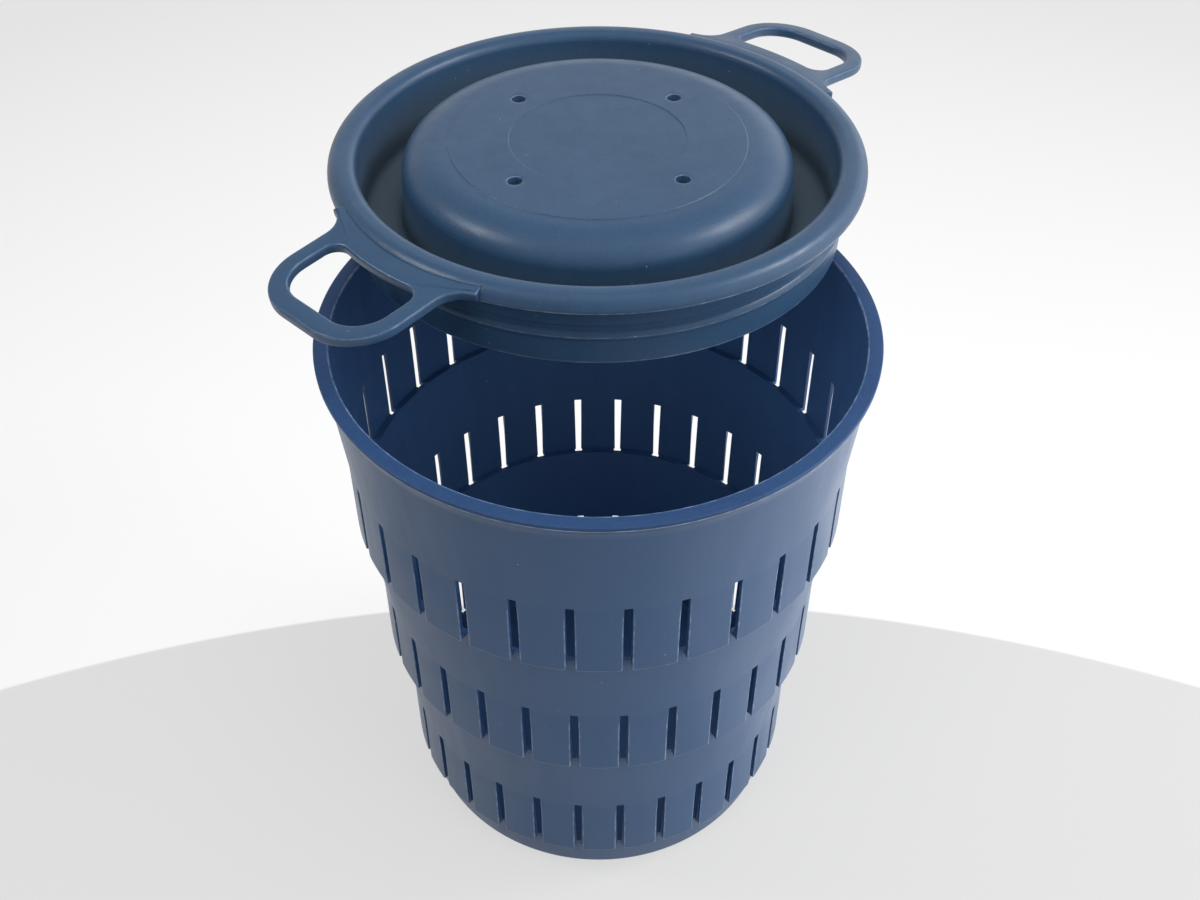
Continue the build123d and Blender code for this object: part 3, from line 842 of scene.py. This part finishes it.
# %% Surface of a loop
BEDDED_ROUNDING = 0.15                   # mm, of the root's edges inside the bead
ROUNDING_ROWS = 6
LOOP_HIGHLIGHT_ROWS, LOOP_HIGHLIGHT_MARK = [3, 8, 14, 20], 1.0          # rows within the roundings
LEAST_RUN, LEAST_SHARE = 1e-9, 0.2       # keep a doubled point and a sharp turn from blowing up


def shift_line(line, distance):
    """Closed line moved to its left by a distance, with each corner's point on its bisector."""
    runs = np.roll(line, -1, axis=0) - line
    normals = np.column_stack([-runs[:, 1], runs[:, 0]])
    normals /= np.maximum(np.linalg.norm(normals, axis=1, keepdims=True), LEAST_RUN)
    before = np.roll(normals, 1, axis=0)
    share = 1 + np.sum(before * normals, axis=1, keepdims=True)
    return line + np.reshape(distance, (-1, 1)) * (before + normals) / np.maximum(share, LEAST_SHARE)


def loop_grid():
    """Points of the strap on its plane: rows run across the section and columns round the gap."""
    off_axis = np.linalg.norm(outer_line + [SEAT_RADIUS, 0], axis=1)
    outer_rounding = np.where(off_axis > STRIP_RADIUS - NEAR, LOOP_ROUNDING, BEDDED_ROUNDING)
    gap_rounding = np.full(len(gap_line), LOOP_ROUNDING)
    rows = []
    for line, rounding, way in ((outer_line, outer_rounding, 1), (gap_line, gap_rounding, -1)):
        top = np.array([
            np.column_stack([
                shift_line(line, way * rounding * (1 - np.cos(turn))), rounding * (np.sin(turn) - 1),
            ])
            for turn in np.linspace(0, np.pi / 2, ROUNDING_ROWS)
        ])
        bottom = top[::-1].copy()
        bottom[..., 2] = -THICKNESS - bottom[..., 2]
        rows.append(np.concatenate([bottom, top]))
    return np.concatenate([rows[0], rows[1][::-1]])


def loop_piece(name, angle):
    """One loop, set on its sloping plane at its angle round the lid."""
    grid = loop_grid()
    turn = np.radians(angle)
    out = np.array([np.cos(turn) * np.cos(DROOP), np.sin(turn) * np.cos(DROOP), -np.sin(DROOP)])
    across = np.array([-np.sin(turn), np.cos(turn), 0])
    upward = np.cross(out, across)
    origin = np.array([SEAT_RADIUS * np.cos(turn), SEAT_RADIUS * np.sin(turn), -ROOT_DEPTH])
    points = origin + grid[..., :1] * out + grid[..., 1:2] * across + grid[..., 2:] * upward
    numbers = np.arange(points.shape[0] * points.shape[1]).reshape(points.shape[:2])
    faces = grid_faces(np.concatenate([numbers, numbers[:1]]))
    marks = np.zeros((*points.shape[:2], 2))
    # painted highlight along the strap's rounded edges
    marks[LOOP_HIGHLIGHT_ROWS, :, 0] = LOOP_HIGHLIGHT_MARK
    skin = placed(points.reshape(-1, 3)), faces.reshape(-1, 4).tolist(), marks.reshape(-1, 2)
    return make_piece(name.replace("handle", "loop"), *skin, "lid", name, "loops")


loops = [loop_piece(name, angle) for name, angle in LOOP_ANGLES.items()]

# %% [markdown]
# ## Finishes
#
# Colours are picked as sRGB hex values, but Blender adds up light in linear values, so one
# function turns each hex colour to linear. A material is a small network of nodes. One helper adds a
# node, applies its settings, and sets or links its inputs, which keeps each recipe short to read.

# %% Colour and node helpers
def linear(hex_colour):
    """Linear colour with full opacity: a value to 0.04045 is divided by 12.92, else curved by 2.4."""
    values = np.array([int(hex_colour[i:i + 2], 16) for i in (1, 3, 5)]) / 255
    curved = np.where(values <= 0.04045, values / 12.92, ((values + 0.055) / 1.055) ** 2.4)
    return (*curved.tolist(), 1.0)


def put(tree, kind, inputs=None, **settings):
    """Adds one node of a kind, applies its settings, and links each input or sets its value."""
    node = tree.nodes.new("ShaderNode" + kind)
    for name, value in settings.items():
        setattr(node, name, value)
    for key, value in (inputs or {}).items():
        if isinstance(value, bpy.types.NodeSocket):
            tree.links.new(value, node.inputs[key])
        else:
            node.inputs[key].default_value = value
    return node


def new_material(name):
    """A material whose tree of nodes is still empty, and that tree."""
    material = bpy.data.materials.new(name)
    material.use_nodes = True
    material.node_tree.nodes.clear()
    return material, material.node_tree


print("the pail's blue in linear values:", np.round(linear("#264570")[:3], 3))

# %% [markdown]
# The pail is injection-moulded high-density polyethylene and the lid a softer low-density grade. The
# plastic is coloured all through, and has a waxy satin skin: the steel of the mould was spark-eroded,
# and its fine pits leave a grain. It is drawn a millimetre or so across, because a finer one would
# be lost in the picture. On that lie faint cloudy streaks, where the melt flowed and cooled, and
# paler lines: flash where an edge is pinched, and painted highlights along rounded edges. The rim's
# upright edge gets painted shade instead. Use has left a dull film: chalky scuffs outside the
# pail, and dust and dried bait in the lid's trough, with a few white specks. Both grades are one
# recipe with different tones, so it is one function. The tones are laid over one another like coats
# of paint, and each coat has a share that says how much of it shows.

# %% Moulded polyethylene
FLOW_WIDTH, FLOW_LENGTH = 9.0, 60.0      # mm, streaks across and along the flow, which runs upwards
CLOUD = 55.0                             # mm, cloudy patches
GRAIN, GRAIN_DEPTH = 0.9, 0.10           # mm, pits of the mould's surface, coarse enough to show
# The chips also break up the painted highlights along rounded edges.
CHIP = 5.0                               # mm, lengths of edge between bits of pinched-off plastic
STREAK_RANGE, PIT_RANGE, CHIP_RANGE = (0.7, 1.3), (0.35, 0.75), (0.42, 0.68)   # of their noise
PIT_COVER, FILM_COVER = 0.45, 0.75       # most that the pits' tone and the film hide of what is below
CHIP_LEAST = 0.25                        # paleness of an edge between its chips, as a share of theirs
DARK_SHARE, BLACK = 0.6, (0.0, 0.0, 0.0, 1.0)        # how far a dark line goes towards black
DUST_SPACING, DUST_SIZE = 7.0, 0.46      # mm
DUST_SHARE, DUST_TONE = 0.3, "#B4BECB"   # how many of the places for a speck have one
GLOSS_SPREAD = 0.05                      # how much rougher or smoother the streaks are
REFRACTION = 1.51                        # of polyethylene


def moulded_polyethylene(name, tones, roughness, film_roughness, edge_share, specular):
    """Coloured-through plastic with streaks, grain, a dull film, dust, and pale or dark edges.

    tones are five colours: the deep and the mid tone of the streaks, the pits of the grain, the film
    and the pale edges. An edge mark below zero darkens instead.
    """
    deep, tone, skin, film_tone, edge_tone = (linear(one) for one in tones)
    material, tree = new_material(name)
    place = put(tree, "TexCoord").outputs["Object"]
    along = put(tree, "Mapping", {"Vector": place, "Scale": (1, 1, FLOW_WIDTH / FLOW_LENGTH)})
    flow, cloud, grain, chip = (
        put(tree, "TexNoise", {
            "Vector": vector, "Scale": 1 / (size * MM), "Detail": detail, "Roughness": fineness,
        }).outputs["Fac"]
        for vector, size, detail, fineness in (
            (along.outputs["Vector"], FLOW_WIDTH, 4, 0.55), (place, CLOUD, 2, 0.5),
            (place, GRAIN, 3, 0.6), (place, CHIP, 3, 0.6),
        )
    )
    film, edge = (
        put(tree, "Attribute", attribute_name=mark).outputs["Fac"] for mark in ("film", "edge")
    )
    streaks = put(tree, "Math", {0: flow, 1: cloud}, operation="ADD")
    spread, pits, flash_and_highlight_chips = (
        put(tree, "MapRange", {
            "Value": noise, "From Min": low, "From Max": high, "To Min": least, "To Max": most,
        }).outputs[0]
        for noise, (low, high), least, most in (
            (streaks.outputs[0], STREAK_RANGE, 0.0, 1.0), (grain, PIT_RANGE, 0.0, PIT_COVER),
            (chip, CHIP_RANGE, CHIP_LEAST * edge_share, edge_share),
        )
    )
    cells = put(tree, "TexVoronoi", {
        "Vector": place, "Scale": 1 / (DUST_SPACING * MM), "Randomness": 1.0,
    })
    chance = put(tree, "SeparateColor", {"Color": cells.outputs["Color"]})
    near, rare = (
        put(tree, "Math", {0: value, 1: limit}, operation="LESS_THAN").outputs[0]
        for value, limit in (
            (cells.outputs["Distance"], DUST_SIZE / DUST_SPACING / 2), (chance.outputs[0], DUST_SHARE),
        )
    )
    filmed, edged, darkened, dusty, dulled = (
        put(tree, "Math", {0: first, 1: second}, operation="MULTIPLY").outputs[0]
        for first, second in (
            (film, FILM_COVER), (edge, flash_and_highlight_chips), (edge, -DARK_SHARE), (near, rare),
            (film, film_roughness - roughness),
        )
    )
    # The pale edge coat is flash and painted highlights; the black coat is painted shade on the rim's
    # upright edge and a darker tone on its flat.
    colour = deep
    for share, coat in (
        (spread, tone), (pits, skin), (filmed, film_tone), (edged, edge_tone), (darkened, BLACK),
        (dusty, linear(DUST_TONE)),
    ):
        colour = put(tree, "Mix", {"Factor": share, 6: colour, 7: coat}, data_type="RGBA").outputs[2]
    cloudy = put(tree, "MapRange", {
        "Value": spread, "To Min": roughness + GLOSS_SPREAD, "To Max": roughness - GLOSS_SPREAD,
    })
    gloss = put(tree, "Math", {0: cloudy.outputs[0], 1: dulled}, operation="ADD")
    relief = put(tree, "Bump", {"Height": grain, "Strength": 1.0, "Distance": GRAIN_DEPTH * MM})
    surface = put(tree, "BsdfPrincipled", {
        "Base Color": colour, "Roughness": gloss.outputs[0], "Normal": relief.outputs[0],
        "IOR": REFRACTION, "Specular IOR Level": specular,
    })
    put(tree, "OutputMaterial", {"Surface": surface.outputs[0]})
    return material


pail_finish = moulded_polyethylene(
    "high_density_polyethylene_satin",
    ("#203C66", "#264570", "#375478", "#345275", "#A3B6CF"),
    roughness=0.42, film_roughness=0.36, edge_share=1.0, specular=0.27,
)
lid_finish = moulded_polyethylene(
    "low_density_polyethylene_waxy",
    ("#25405D", "#2A4764", "#3C546F", "#54626D", "#8DA3BA"),
    roughness=0.37, film_roughness=0.60, edge_share=0.7, specular=0.5,
)
loop_finish = moulded_polyethylene(
    "low_density_polyethylene_loop",
    ("#25405D", "#2A4764", "#3C546F", "#54626D", "#8299B6"),
    roughness=0.38, film_roughness=0.38, edge_share=0.5, specular=0.5,
)
for piece, finish in zip([pail, lid, *loops], [pail_finish, lid_finish, loop_finish, loop_finish]):
    piece.data.materials.append(finish)
print("finishes:", [finish.name for finish in (pail_finish, lid_finish, loop_finish)])

# %% [markdown]
# ## Floor, light and camera
#
# The photograph is a cut-out, laid on a flat picture of a pale disc against white, which falls off to
# light grey away from the pail. A wide board stands in for both. It mostly glows by itself, so that
# shadows on it stay faint and the slots show white right through the pail. The real pail never stood
# on anything so bright, so the board gives it no diffuse light. It still shows in the plastic's gloss.

# %% The board underneath
DISC_RADIUS, DISC_MIDDLE, DISC_TONE = 0.993, (0.0, -0.904, 0.0), "#DFDFDF"
FADE_START, FADE_END = 0.15, 0.95        # m from a point, where the white falls off to light grey
FADE_MIDDLE, FADE_TONES = (0.0, 0.1, 0.0), ("#FFFFFF", "#E8E8E8")
GLOW_SHARE = 0.8
BOARD_HALF, BOARD_DROP = 6, 0.4          # m from the middle to a side, and mm under the pail


def add_mesh(name, points, faces, material):
    """Puts a mesh into the scene, with its points in metres and its material."""
    mesh = bpy.data.meshes.new(name)
    mesh.from_pydata(points, [], faces)
    mesh.materials.append(material)
    return add_object(name, mesh)


def board_material():
    """Two pale tones, split at the disc's edge, mostly glowing and a little lit."""
    material, tree = new_material("painted_board_matt")
    place = put(tree, "TexCoord").outputs["Object"]
    reach = put(tree, "VectorMath", {0: place, 1: DISC_MIDDLE}, operation="DISTANCE")
    outside = put(tree, "MapRange", {
        "Value": reach.outputs["Value"], "From Min": DISC_RADIUS - MM, "From Max": DISC_RADIUS + MM,
    })
    # painted pool of light: white near the pail, falling off to light grey further out
    away = put(tree, "VectorMath", {0: place, 1: FADE_MIDDLE}, operation="DISTANCE")
    fade = put(tree, "MapRange", {
        "Value": away.outputs["Value"], "From Min": FADE_START, "From Max": FADE_END,
    })
    full, faded = (linear(tone) for tone in FADE_TONES)
    surround = put(tree, "Mix", {"Factor": fade.outputs[0], 6: full, 7: faded}, data_type="RGBA")
    colour = put(tree, "Mix", {
        "Factor": outside.outputs[0], 6: linear(DISC_TONE), 7: surround.outputs[2],
    }, data_type="RGBA")
    lit = put(tree, "BsdfDiffuse", {"Color": colour.outputs[2]})
    glow = put(tree, "Emission", {"Color": colour.outputs[2]})
    both = put(tree, "MixShader", {0: GLOW_SHARE, 1: lit.outputs[0], 2: glow.outputs[0]})
    put(tree, "OutputMaterial", {"Surface": both.outputs[0]})
    return material


board_corners = [
    (x * BOARD_HALF, y * BOARD_HALF, -BOARD_DROP * MM) for x, y in ((-1, -1), (1, -1), (1, 1), (-1, 1))
]
board = add_mesh("board", board_corners, [(0, 1, 2, 3)], board_material())
board.visible_diffuse = False
print("the board's disc is", 2 * DISC_RADIUS, "m across")

# %% [markdown]
# Seen from the side, the board would end against an empty grey world. So a round pale wall closes it
# off far behind. Only the camera sees it: no ray of light meets it, and it changes nothing on the pail.

# %% The wall round the board
BACKDROP_RADIUS, BACKDROP_RISE, BACKDROP_COLUMNS, BACKDROP_TONE = 5.6, 5.0, 96, "#ECECEC"
backdrop_turns = np.linspace(0, 2 * np.pi, BACKDROP_COLUMNS, endpoint=False)
backdrop_ring = BACKDROP_RADIUS * np.column_stack([np.cos(backdrop_turns), np.sin(backdrop_turns)])
backdrop_points = np.concatenate([
    np.column_stack([backdrop_ring, np.full(BACKDROP_COLUMNS, level)]) for level in (-MM, BACKDROP_RISE)
])
backdrop_faces = grid_faces(np.arange(2 * BACKDROP_COLUMNS).reshape(2, -1)).reshape(-1, 4)
wall_finish, wall_tree = new_material("painted_wall_matt")
wall_glow = put(wall_tree, "Emission", {"Color": linear(BACKDROP_TONE)})
put(wall_tree, "OutputMaterial", {"Surface": wall_glow.outputs[0]})
backdrop = add_mesh("backdrop", backdrop_points.tolist(), backdrop_faces.tolist(), wall_finish)
backdrop.visible_diffuse = backdrop.visible_glossy = backdrop.visible_shadow = False
backdrop.visible_transmission = backdrop.visible_volume_scatter = False
print("the wall stands", BACKDROP_RADIUS, "m away and is", BACKDROP_RISE, "m high")

# %% [markdown]
# The light is a soft room's. The highlights say where it comes from: on the cup's shoulder there is
# one to the lower right and a weaker one to the lower left, and mirroring the view in the shoulder
# there leads to two places, at the right and at the left, both about 40 degrees up. Those are two
# windows. The flat parts of the lid say the rest: mirrored in them, the room is brightest low down
# behind and at the right, and dark overhead, so the world's light falls off upwards and forwards.

# %% The room's light
WALL_FULL, WALL_TOP_END = 8, 42          # degrees up, between which the room's light falls off
WALL_LIGHT, CEILING_LIGHT = 1.1, 0.30
WALL_LEAN, WALL_MEAN = (0.52, 0.36, 0.0), 0.66       # brighter behind and at the right
world = bpy.data.worlds.new("pale_surround")
bpy.context.scene.world = world
world.use_nodes = True
room = world.node_tree
background = room.nodes["Background"]
background.inputs["Color"].default_value = linear("#FDFEFF")
direction = put(room, "TexCoord").outputs["Generated"]
level = put(room, "SeparateXYZ", {"Vector": direction})
strength = put(room, "MapRange", {
    "Value": level.outputs["Z"], "From Min": np.sin(np.radians(WALL_FULL)),
    "From Max": np.sin(np.radians(WALL_TOP_END)), "To Min": WALL_LIGHT, "To Max": CEILING_LIGHT,
}, interpolation_type="SMOOTHSTEP")
rearward = put(room, "VectorMath", {0: direction, 1: WALL_LEAN}, operation="DOT_PRODUCT")
share = put(room, "Math", {0: rearward.outputs["Value"], 1: WALL_MEAN}, operation="ADD")
uneven = put(room, "Math", {0: strength.outputs[0], 1: share.outputs[0]}, operation="MULTIPLY")
room.links.new(uneven.outputs[0], background.inputs["Strength"])
print("the room's light falls from", WALL_LIGHT, "to", CEILING_LIGHT)

# %% [markdown]
# Besides the two windows, soft panels at the sides and above light the blue itself, and are set to
# leave no highlight. Two panels low down stand in for light that the floor throws back, at the front
# and at the right. Thin coloured walls let some light through, and two small lamps inside the pail
# stand in for that.

# %% Lamps
AIM = Vector((0, 0.05, 0.3))             # m, near the middle of the pail's mouth

# Each row has a name, a place in metres, the size of a panel in metres, and a power in watts.
WINDOWS = (
    ("right_window", (1.30, 0.16, 1.40), (0.42, 0.42), 11.0),
    ("left_window", (-1.25, 0.05, 1.55), (0.36, 0.36), 7.5),
)
SOFT_PANELS = (
    ("right_wall", (1.2, 0.0, 0.45), (0.8, 0.6), 8.0),
    ("ceiling", (0.0, -0.15, 1.65), (1.0, 1.0), 9.0),
    ("right_fill", (0.9, -0.8, 1.2), (0.7, 0.7), 6.0),
    ("left_fill", (-0.8, -0.9, 1.2), (0.7, 0.7), 5.0),
    ("front_bounce", (0.0, -0.40, 0.03), (0.5, 0.1), 0.22),
)
FLOOR_CARD = ("right_card", (0.38, 0.0, 0.002), (0.5, 0.8), 0.5)
GLOWS = (
    ("glow_at_the_mouth", (0.03, -0.03, 0.255), 0.19),
    ("glow_at_the_floor", (0.01, 0.0, 0.09), 0.05),
)
GLOW_RADIUS = 0.05


def panel(name, place, size, power):
    """An area light aimed at the object, of a width and a height. It shines along its own -Z."""
    light = bpy.data.lights.new(name, "AREA")
    light.shape = "RECTANGLE"
    light.energy, light.size, light.size_y = power, *size
    lamp = add_object(name, light)
    lamp.location = place
    lamp.rotation_euler = (AIM - Vector(place)).to_track_quat("-Z", "Y").to_euler()
    return lamp


for row in WINDOWS:
    panel(*row)
for row in SOFT_PANELS:
    panel(*row).visible_glossy = False
card = panel(*FLOOR_CARD)
card.rotation_euler = (np.pi, 0, 0)      # lies on the floor and shines upwards
card.visible_camera = False
for name, place, power in GLOWS:
    light = bpy.data.lights.new(name, "POINT")
    light.energy, light.shadow_soft_size = power, GLOW_RADIUS
    glow = add_object(name, light)
    glow.location = place
    glow.visible_camera = glow.visible_glossy = False

# %% [markdown]
# The camera looks 43.7 degrees down from about 0.9 m away. Its place was worked out from the rim's
# and the lid's ellipses in the photograph, which only one viewing point can give.

# %% Camera
CAMERA_PLACE = (-0.00106, -0.52194, 0.71930)
LOOK_DOWN, LOOK_ASIDE = 43.74, -0.207    # degrees
SENSOR_WIDTH, FOCAL_LENGTH = 36.0, 43.504            # mm
camera_data = bpy.data.cameras.new("camera")
camera_data.sensor_width, camera_data.lens = SENSOR_WIDTH, FOCAL_LENGTH
camera = add_object("camera", camera_data)
camera.location = CAMERA_PLACE
camera.rotation_euler = (np.radians(90 - LOOK_DOWN), 0, np.radians(LOOK_ASIDE))
bpy.context.scene.camera = camera
bpy.context.scene.view_settings.view_transform = "Standard"
print("camera at", tuple(round(value, 3) for value in camera.location))
